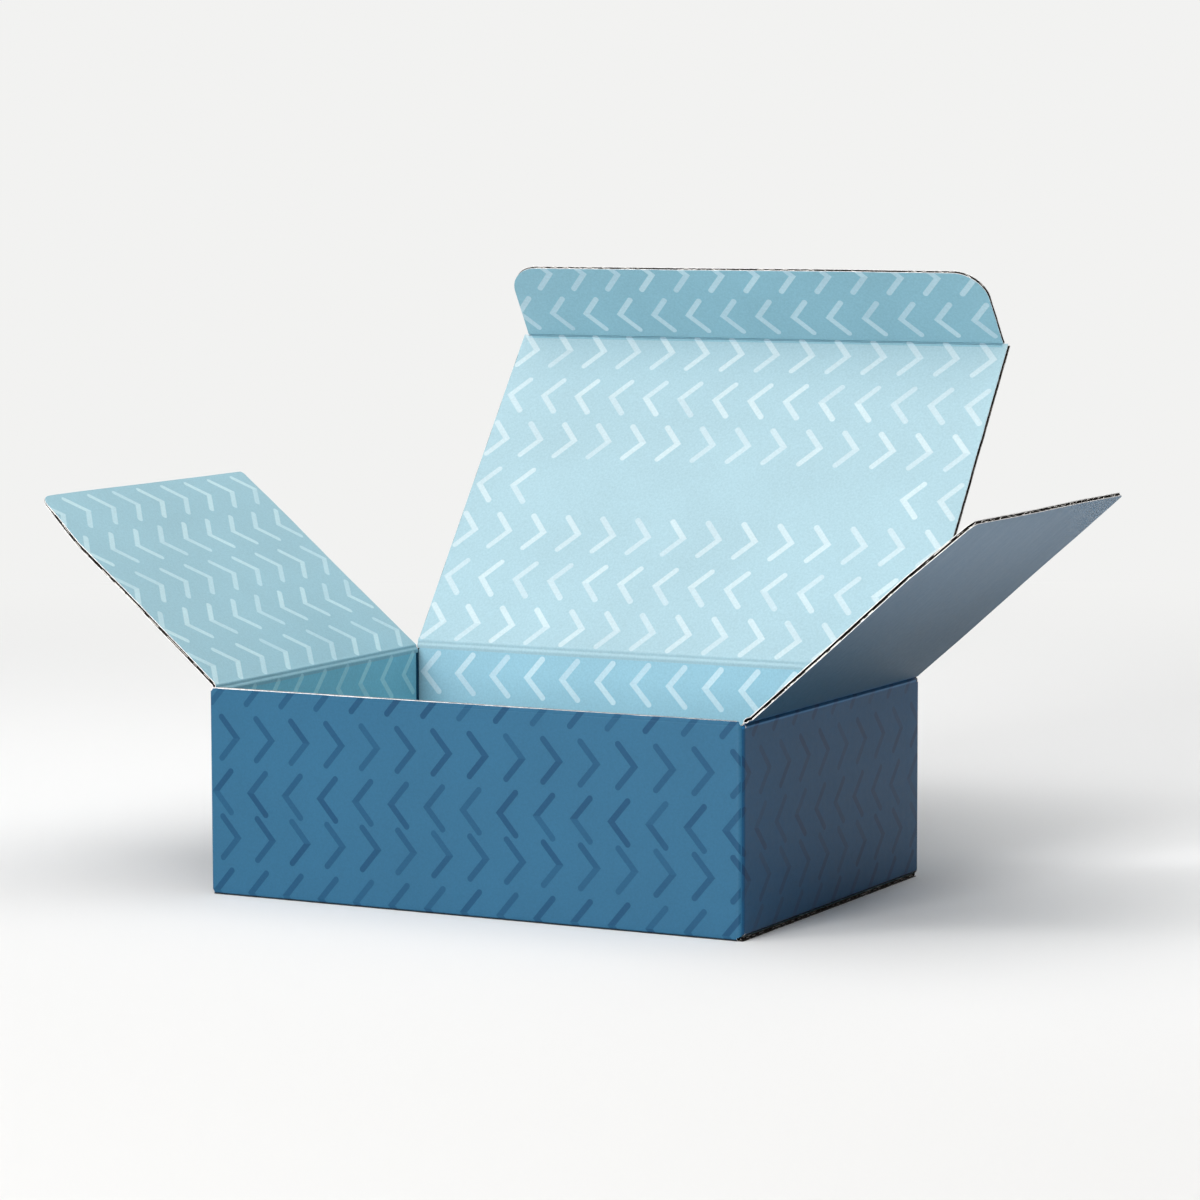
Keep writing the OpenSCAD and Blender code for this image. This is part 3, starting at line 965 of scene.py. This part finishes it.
crease = {
    "steps": 28,
    "span": 8.0,                # distance between points along the hinge line
    "pressed": 0.26,            # half the board's thickness where it is pressed flat
    "dip": {"inner": 1.15, "outer": 0.95},
    "bead": {"inner": 0.06, "outer": 0.22},
    "beadPlace": {"inner": 1.5, "outer": 1.4},
    "beadWidth": 0.35,
    "bend": 1.5,                # the bend lies within this distance of the hinge line
}


def creaseOffset(s, side):
    # Distance of a crease's paper from the board's middle, s away from the hinge line
    share = min(1.0, abs(s) / crease["dip"][side])
    ease = share * share * (3 - 2 * share)
    half = crease["pressed"] + (board / 2 - crease["pressed"]) * ease
    if side == "inner" or s < 0:
        past = (abs(s) - crease["beadPlace"][side]) / crease["beadWidth"]
        half += crease["bead"][side] * math.exp(-past * past)
    return half if side == "inner" else -half


def buildCrease(name, wallPlane, panelPlane, first, last, slant, inside, material, flat):
    # slant is how much shorter the strip's first end is beside the panel than on the wall
    sheet = Sheet(name)
    side = "inner" if inside else "outer"
    wall, panel = planes[wallPlane], planes[panelPlane]
    turn = wall["along"].cross(panel["along"])
    angle = math.atan2(turn.length, wall["along"].dot(panel["along"]))
    turn.normalize()
    origin = panel["origin"]
    points, places = [], []
    values = spaced(first, last, crease["span"])
    for i in range(crease["steps"] + 1):
        s = creaseHalf * (2 * i / crease["steps"] - 1)
        values[0] = first + slant * (0.5 + s / (2 * creaseHalf))
        t = min(1.0, max(0.0, 0.5 + s / (2 * crease["bend"])))
        bend = Matrix.Rotation(angle * t * t * (3 - 2 * t), 3, turn)
        line, place = [], []
        for u in values:
            local = wall["along"] * s + wall["inner"] * creaseOffset(s, side)
            line.append(origin + wall["across"] * u + bend @ local)
            place.append(flat(u, s))
        points.append(line)
        places.append(place)
    middle = wall["inner"] + panel["inner"]
    sheet.grid(points, places, material, middle * (1 if inside else -1))
    return sheet.build()


# The fluting paper between the two facing papers, as one Geometry Nodes tree

fluteClear = 0.02       # left between the fluting and the two papers
flutes = {
    "depth": board - 2 * carton["paper"] - fluteClear,
    "paper": 0.28,
    "samples": 12,      # points on each flute
    "along": 14.0,      # distance between points along a flute of a moving panel
    "back": 0.12,       # how far the fluting stays behind a cut edge
    "cornerGap": 2.5,   # how far it ends before a corner fold
    "baseGap": 1.0,     # and before the base's side edges
}


def roundLoss(w, radius, past):
    # How much shorter a flute is where it ends past the start of a round corner
    square = w.math("SUBTRACT", w.math("MULTIPLY", radius, radius), w.math("MULTIPLY", past, past))
    return w.math("SUBTRACT", radius, w.math("SQRT", w.math("MAXIMUM", square, 0.0)))


def fluteTree():
    length, number = "NodeSocketFloat", "NodeSocketInt"
    tree = groupTree("flutedPaper", "GeometryNodeTree",
                     [("Width", length, 0.1), ("Length", length, 0.1), ("Pitch", length, 0.0063),
                      ("Depth", length, 0.001), ("Paper", length, 0.0002),
                      ("Corner Radius", length, 0.0), ("Tip Radius", length, 0.0),
                      ("Taper", length, 0.0), ("Taper Run", length, 0.01),
                      ("Points Across", number, 100), ("Points Along", number, 2),
                      ("Material", "NodeSocketMaterial", None),
                      ("Edge Material", "NodeSocketMaterial", None)],
                     [("Geometry", "NodeSocketGeometry")])
    w = Wires(tree)
    source = tree.nodes.new("NodeGroupInput").outputs
    grid = w.add("GeometryNodeMeshGrid", {"Size X": source["Width"], "Size Y": 1.0,
                                          "Vertices X": source["Points Across"],
                                          "Vertices Y": source["Points Along"]})
    split = tree.nodes.new("ShaderNodeSeparateXYZ")
    tree.links.new(w.add("GeometryNodeInputPosition"), split.inputs[0])
    across, end = split.outputs[0], w.math("ADD", split.outputs[1], 0.5)
    # Where the flute ends at a round corner, and where the tapered side cuts it
    half = w.math("MULTIPLY", source["Width"], 0.5)
    past = w.math("MAXIMUM", w.math("SUBTRACT", w.math("ABSOLUTE", across),
                                    w.math("SUBTRACT", half, source["Corner Radius"])), 0.0)
    lost = roundLoss(w, source["Corner Radius"], past)
    beside = w.math("ADD", across, half)
    taper = w.math("MAXIMUM", source["Taper"], 1e-6)
    cut = w.math("MULTIPLY", w.math("SUBTRACT", 1.0, w.math("DIVIDE", beside, taper), clamp=True),
                 source["Taper Run"])
    # The round tip where the tapered side meets the free edge
    into = w.math("SUBTRACT", source["Tip Radius"], w.math("SUBTRACT", beside, source["Taper"]))
    into = w.math("MINIMUM", w.math("MAXIMUM", into, 0.0), source["Tip Radius"])
    lostTip = roundLoss(w, source["Tip Radius"], into)
    reach = w.math("SUBTRACT", source["Length"], w.math("ADD", lost, lostTip))
    reach = w.math("SUBTRACT", reach, cut)
    turns = w.math("DIVIDE", w.math("MULTIPLY", across, 2 * math.pi), source["Pitch"])
    swing = w.math("MULTIPLY", w.math("SUBTRACT", source["Depth"], source["Paper"]), 0.5)
    wave = w.math("MULTIPLY", w.math("SINE", turns), swing)
    place = w.add("ShaderNodeCombineXYZ", {0: across, 1: w.math("MULTIPLY", end, reach), 2: wave})
    waved = w.add("GeometryNodeSetPosition", {"Geometry": grid, "Position": place})
    thick = w.add("GeometryNodeExtrudeMesh", {"Mesh": waved, "Offset Scale": source["Paper"],
                                              "Individual": False}, mode="FACES")
    under = w.add("GeometryNodeFlipFaces", {"Mesh": waved})
    joined = tree.nodes.new("GeometryNodeJoinGeometry")
    tree.links.new(thick, joined.inputs[0])
    tree.links.new(under, joined.inputs[0])
    closed = w.add("GeometryNodeMergeByDistance", {"Geometry": joined.outputs[0],
                                                   "Distance": 1e-6})
    whole = w.add("GeometryNodeRealizeInstances", {"Geometry": closed})
    painted = w.add("GeometryNodeSetMaterial", {"Geometry": whole, "Material": source["Material"]})
    painted = w.add("GeometryNodeSetMaterial", {"Geometry": painted,
                                                "Selection": thick.node.outputs["Side"],
                                                "Material": source["Edge Material"]})
    sink = tree.nodes.new("NodeGroupOutput")
    tree.links.new(painted, sink.inputs["Geometry"])
    return tree


fluting = fluteTree()


def fluteSheet(place, width, length, centre=0.0, start=0.0, radius=0.0, tip=0.0, taper=0.0,
               run=10.0, along=2):
    # One sheet of fluting as a plain mesh, each of its points set in the carton by place()
    piece = bpy.data.objects.new("fluteSheet", bpy.data.meshes.new("fluteSheet"))
    scene.collection.objects.link(piece)
    modifier = piece.modifiers.new("flutes", "NODES")
    modifier.node_group = fluting
    pitch = carton["flutePitch"]
    across = round(width / pitch * flutes["samples"]) + 1
    values = {"Width": width / 1000, "Length": length / 1000, "Pitch": pitch / 1000,
              "Depth": flutes["depth"] / 1000, "Paper": flutes["paper"] / 1000,
              "Corner Radius": radius / 1000, "Tip Radius": tip / 1000,
              "Taper": taper / 1000, "Taper Run": run / 1000,
              "Points Across": across, "Points Along": along, "Material": raw["flute"],
              "Edge Material": raw["fluteCut"]}
    for item in fluting.interface.items_tree:
        if item.item_type == "SOCKET" and item.in_out == "INPUT":
            modifier[item.identifier] = values[item.name]
    plainMesh(piece)
    mesh = piece.data
    co = np.zeros(len(mesh.vertices) * 3, np.float32)
    mesh.vertices.foreach_get("co", co)
    co = co.reshape(-1, 3) * 1000
    shift = flutes["paper"] / 2
    for k, (x, y, z) in enumerate(co):
        co[k] = place(x + centre, y + start, z - shift)
    mesh.vertices.foreach_set("co", (co * 0.001).ravel())
    mesh.update()
    return piece


def joinFlutes(name, parts):
    # Several sheets of fluting as one piece; they share their two materials
    joined = bmesh.new()
    for part in parts:
        joined.from_mesh(part.data)
    joined.to_mesh(parts[0].data)
    joined.free()
    for part in parts[1:]:
        bpy.data.objects.remove(part)
    parts[0].name = parts[0].data.name = name
    return parts[0]


def outwardFaces(piece):
    # Recalculates the normals of closed shells
    mesh = bmesh.new()
    mesh.from_mesh(piece.data)
    bmesh.ops.recalc_face_normals(mesh, faces=mesh.faces)
    mesh.to_mesh(piece.data)
    mesh.free()


def finishPiece(piece, body):
    # A crease has no body of its own and is attached to none
    shadeSmooth(piece)
    if body:
        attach(piece, body)


# Carton body
outerWalls = buildWalls("bodyOuterPaper", 0.0).take(basePlates(True)).build()
innerWalls = buildWalls("bodyInnerPaper", board).take(basePlates(False)).build()
gap = flutes["back"]
middle, frontWide = board / 2, 2 * (halfW - cornerR - flutes["cornerGap"])
sideBottom, sideWide = innerBase + baseR, 2 * (halfD - cornerR - flutes["cornerGap"])
innerWide = 2 * (halfD - cornerR - base["sideTaper"]) - gap
baseWide = 2 * (base["edge"] - flutes["baseGap"])
wallFlutes = [
    fluteSheet(lambda x, y, z: (x, middle - halfD + z, y), frontWide,
               carton["height"] - baseR - gap, 0, baseR),
    fluteSheet(lambda x, y, z: (x, halfD - middle + z, y), frontWide,
               walls["backTop"] - baseR, 0, baseR),
]
for side in (-1, 1):
    wallFlutes.append(fluteSheet(
        lambda x, y, z: (side * (halfW - middle) + z, x, y), sideWide,
        walls["sideTop"] - sideBottom, 0, sideBottom))
    wallFlutes.append(fluteSheet(
        lambda x, y, z: (side * (halfW - baseR - y), x, innerBase + middle + z), innerWide,
        base["sideLength"] - baseR - gap))
wallFlutes.append(fluteSheet(lambda x, y, z: (x, baseR - halfD + y, middle + z), baseWide,
                             frontEnd + halfD - baseR - gap))
wallFlutes.append(fluteSheet(lambda x, y, z: (x, halfD - baseR - y, middle + z), baseWide,
                             halfD - baseR - base["slotEnd"] - gap))
wallFlutes.append(fluteSheet(
    lambda x, y, z: (x, base["rampEnd"] + y, innerBase + middle + z),
    2 * (base["tongueHalf"] - gap), base["tongueTip"] - base["rampEnd"] - gap, 0, 0,
    base["tongueRadius"]))
bodyFlutes = joinFlutes("bodyFluting", wallFlutes)
outwardFaces(bodyFlutes)
finishPiece(outerWalls, "carton_body")
finishPiece(innerWalls, "carton_body")
finishPiece(bodyFlutes, "carton_body")
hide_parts("carton_body")
print("carton body:", sum(len(p.data.polygons) for p in (outerWalls, innerWalls, bodyFlutes)))

# Lid, tuck flap and side flaps
panelSets = {
    "lid": {"body": "lid", "rows": lidRows(), "outer": "top", "inner": "lidInside"},
    "tuck": {"body": "tuck_flap", "rows": tuckRows(), "outer": "outerPlain",
             "inner": "tuckInside"},
    "left": {"body": "left_flap", "rows": flapRows("left"), "outer": "flapOutside",
             "inner": "flapInside"},
    "right": {"body": "right_flap", "rows": flapRows("right"), "outer": "flapOutside",
              "inner": "flapInside"},
}


def panelFlutes(which):
    size = panels[which]
    along = round(size["length"] / flutes["along"]) + 1
    reach = size["length"] - creaseHalf - gap

    def place(x, y, z):
        return onPlane(which, x, y, z * thin(which, x, y) + bow(which, x, y))

    if which == "lid":
        return fluteSheet(place, 2 * (size["half"] - gap), size["length"] - 2 * creaseHalf, 0,
                          creaseHalf, along=along)
    if which == "tuck":
        return fluteSheet(place, 2 * (size["half"] - size["taper"] - gap), reach, 0, creaseHalf,
                          size["radius"] - gap, along=along)
    # A flap's width runs from its near edge (at the front) to its far edge
    width = size["far"] - size["near"] - 2 * gap
    centre = (size["far"] + size["near"]) / 2
    flip = -1 if which == "right" else 1
    return fluteSheet(lambda x, y, z: place(x * flip, y, z), width, reach, centre, creaseHalf,
                      size["backRadius"], size["frontRadius"], size["taper"],
                      size["length"] - size["frontRadius"] - size["straight"], along)


for which, made in panelSets.items():
    outer = buildPanel(which + "OuterPaper", which, made["rows"], False, faces[made["outer"]])
    inner = buildPanel(which + "InnerPaper", which, made["rows"], True, faces[made["inner"]])
    core = panelFlutes(which)
    core.name = core.data.name = which + "Fluting"
    outwardFaces(core)
    finishPiece(outer, made["body"])
    finishPiece(inner, made["body"])
    finishPiece(core, made["body"])
    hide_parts(made["body"])
print("panels made:", ", ".join(panelSets))

# ends: where the strip starts and stops on the hinge line, and the slant of its start
creases = {
    "lid": {"planes": ("backWall", "lid"), "ends": (-124.1, 124.1, 0.0),
            "bodies": ("carton_body", "lid"),
            "outer": "top", "inner": "lidInside",
            "outerFlat": lambda u, s: (-u, s), "innerFlat": lambda u, s: (u, s)},
    "tuck": {"planes": ("lid", "tuck"), "ends": (-121.53, 121.53, 0.0),
             "bodies": ("lid", "tuck_flap"), "outer": "outerPlain", "inner": "tuckInside",
             "outerFlat": lambda u, s: (-u, s), "innerFlat": lambda u, s: (u, s)},
    "left": {"planes": ("leftWall", "left"), "ends": (-86.4, 85.2, 2.9),
             "bodies": ("carton_body", "left_flap"), "outer": "side", "inner": "flapInside",
             "outerFlat": lambda u, s: (-u, leftAxis.z + s), "innerFlat": lambda u, s: (u, s)},
    "right": {"planes": ("rightWall", "right"), "ends": (-85.2, 85.4, 0.0),
              "bodies": ("carton_body", "right_flap"), "outer": "side", "inner": "flapInside",
              "outerFlat": lambda u, s: (-u, rightAxis.z + s), "innerFlat": lambda u, s: (-u, s)},
}
for which, made in creases.items():
    wallPlane, panelPlane = made["planes"]
    for inside in (False, True):
        side = "inner" if inside else "outer"
        piece = buildCrease(which + "Crease" + side.capitalize(), wallPlane, panelPlane,
                            *made["ends"], inside, faces[made[side]], made[side + "Flat"])
        finishPiece(piece, None)
        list(made["bodies"])
        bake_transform(piece)
print("creases made:", ", ".join(creases))

# Floor, lamps, world and camera

studio = {
    "floorNear": (0.825, 0.82, 0.81),
    "floorFar": (0.94, 0.94, 0.935),
    "floorTurn": (-0.45, 0.35),       # where the floor's tone changes, along Y
    "floorEnds": {"x": (-6, 6), "y": (-4, 9)},
    "skyColour": (0.888, 0.888, 0.878),
    "fadeWay": (-0.46, 0.88),         # the way along which the floor turns to sky behind the carton
    "fadeFrom": 0.3,
    "fadeTo": 1.3,
    "ringFrom": 0.75,                 # the distance at which the floor turns to sky all round
    "ringTo": 1.7,
    "fillStrength": 0.03,
    "fillColour": (0.95, 0.975, 1.0),
}


def floorMaterial():
    material = bpy.data.materials.new("studioFloor")
    material.use_nodes = True
    tree = material.node_tree
    w = Wires(tree)
    shader = tree.nodes["Principled BSDF"]
    shader.inputs["Roughness"].default_value = 0.9
    shader.inputs["Specular IOR Level"].default_value = 0.1
    place = w.add("ShaderNodeTexCoord", out=3)
    split = tree.nodes.new("ShaderNodeSeparateXYZ")
    tree.links.new(place, split.inputs[0])
    tone = w.mix(w.smooth(split.outputs[1], *studio["floorTurn"]), (*studio["floorNear"], 1),
                 (*studio["floorFar"], 1))
    tree.links.new(tone, shader.inputs["Base Color"])
    wayX, wayY = studio["fadeWay"]
    far = w.math("ADD", w.math("MULTIPLY", split.outputs[1], wayY),
                 w.math("MULTIPLY", split.outputs[0], wayX))
    fade = w.smooth(far, studio["fadeFrom"], studio["fadeTo"])
    away = w.add("ShaderNodeVectorMath", {0: place}, out=1, operation="LENGTH")
    fade = w.math("MAXIMUM", fade, w.smooth(away, studio["ringFrom"], studio["ringTo"]))
    seen = w.add("ShaderNodeLightPath")
    fade = w.math("MULTIPLY", fade, seen)
    sky = w.add("ShaderNodeEmission", {"Color": (*studio["skyColour"], 1), "Strength": 1.0})
    mixed = w.add("ShaderNodeMixShader", {0: fade, 1: shader.outputs[0], 2: sky})
    tree.links.new(mixed, tree.nodes["Material Output"].inputs["Surface"])
    return material


(left, right), (front, back) = studio["floorEnds"]["x"], studio["floorEnds"]["y"]
floorMesh = bpy.data.meshes.new("floor")
floorMesh.from_pydata([(left, front, 0), (right, front, 0), (right, back, 0), (left, back, 0)],
                      [], [(0, 1, 2, 3)])
floor = bpy.data.objects.new("floor", floorMesh)
scene.collection.objects.link(floor)
floorMesh.materials.append(floorMaterial())

world = bpy.data.worlds.new("studio")
scene.world = world
world.use_nodes = True
worldTree = world.node_tree
w = Wires(worldTree)
background = worldTree.nodes["Background"]
rays = worldTree.nodes.new("ShaderNodeLightPath")
seen = w.math("MAXIMUM", rays.outputs["Is Camera Ray"],
              w.math("MAXIMUM", rays.outputs["Is Glossy Ray"],
                     rays.outputs["Is Transmission Ray"]))
worldTree.links.new(w.mix(seen, (*studio["fillColour"], 1), (*studio["skyColour"], 1)),
                    background.inputs["Color"])
worldTree.links.new(w.add("ShaderNodeMapRange", {"Value": seen, "To Max": 1.0,
                                                 "To Min": studio["fillStrength"]}),
                    background.inputs["Strength"])

lamps = {
    "keyLamp": {"from": (-1.22, -1.59, 2.28), "to": (0.0, 0.0, 0.05), "size": 0.7, "watts": 8},
    "highLamp": {"from": (-1.25, -2.15, 4.38), "to": (0.0, 0.0, 0.05), "size": 2.4, "watts": 32},
    "topLamp": {"from": (0.0, 0.0, 2.2), "to": (0.0, 0.0, 0.0), "size": 2.6, "watts": 36},
    "softLamp": {"from": (0.2, -2.2, 2.6), "to": (0.0, 0.0, 0.0), "size": 2.2, "watts": 24},
    "frontLamp": {"from": (-0.5, -4.0, 0.9), "to": (0.0, 0.0, 0.1), "size": 1.2, "watts": 120},
    "backLamp": {"from": (0.6, 2.4, 2.4), "to": (0.0, 0.0, 0.0), "size": 2.0, "watts": 16},
}
for name, lamp in lamps.items():
    data = bpy.data.lights.new(name, "AREA")
    data.energy, data.size = lamp["watts"], lamp["size"]
    lampObject = bpy.data.objects.new(name, data)
    scene.collection.objects.link(lampObject)
    lampObject.location = lamp["from"]
    aim = Vector(lamp["to"]) - Vector(lamp["from"])
    lampObject.rotation_euler = aim.to_track_quat("-Z", "Y").to_euler()

view = {
    "place": (0.848529, -1.597101, 0.311221),
    "yaw": 27.547,
    "pitch": -5.942,
    "roll": -0.132,
    "lens": 127.82,
    "sensor": 36.0,
    "clip": (0.05, 50),
}
cameraData = bpy.data.cameras.new("camera")
cameraData.sensor_width = view["sensor"]
cameraData.lens = view["lens"]
cameraData.clip_start, cameraData.clip_end = view["clip"]
camera = bpy.data.objects.new("camera", cameraData)
scene.collection.objects.link(camera)
scene.camera = camera
turn = Matrix.Rotation(math.radians(view["yaw"]), 4, "Z")
turn = turn @ Matrix.Rotation(math.radians(90 + view["pitch"]), 4, "X")
turn = turn @ Matrix.Rotation(math.radians(view["roll"]), 4, "Z")
camera.matrix_world = Matrix.Translation(view["place"]) @ turn
scene.view_settings.view_transform = "Standard"
print("floor, lamps and camera set")
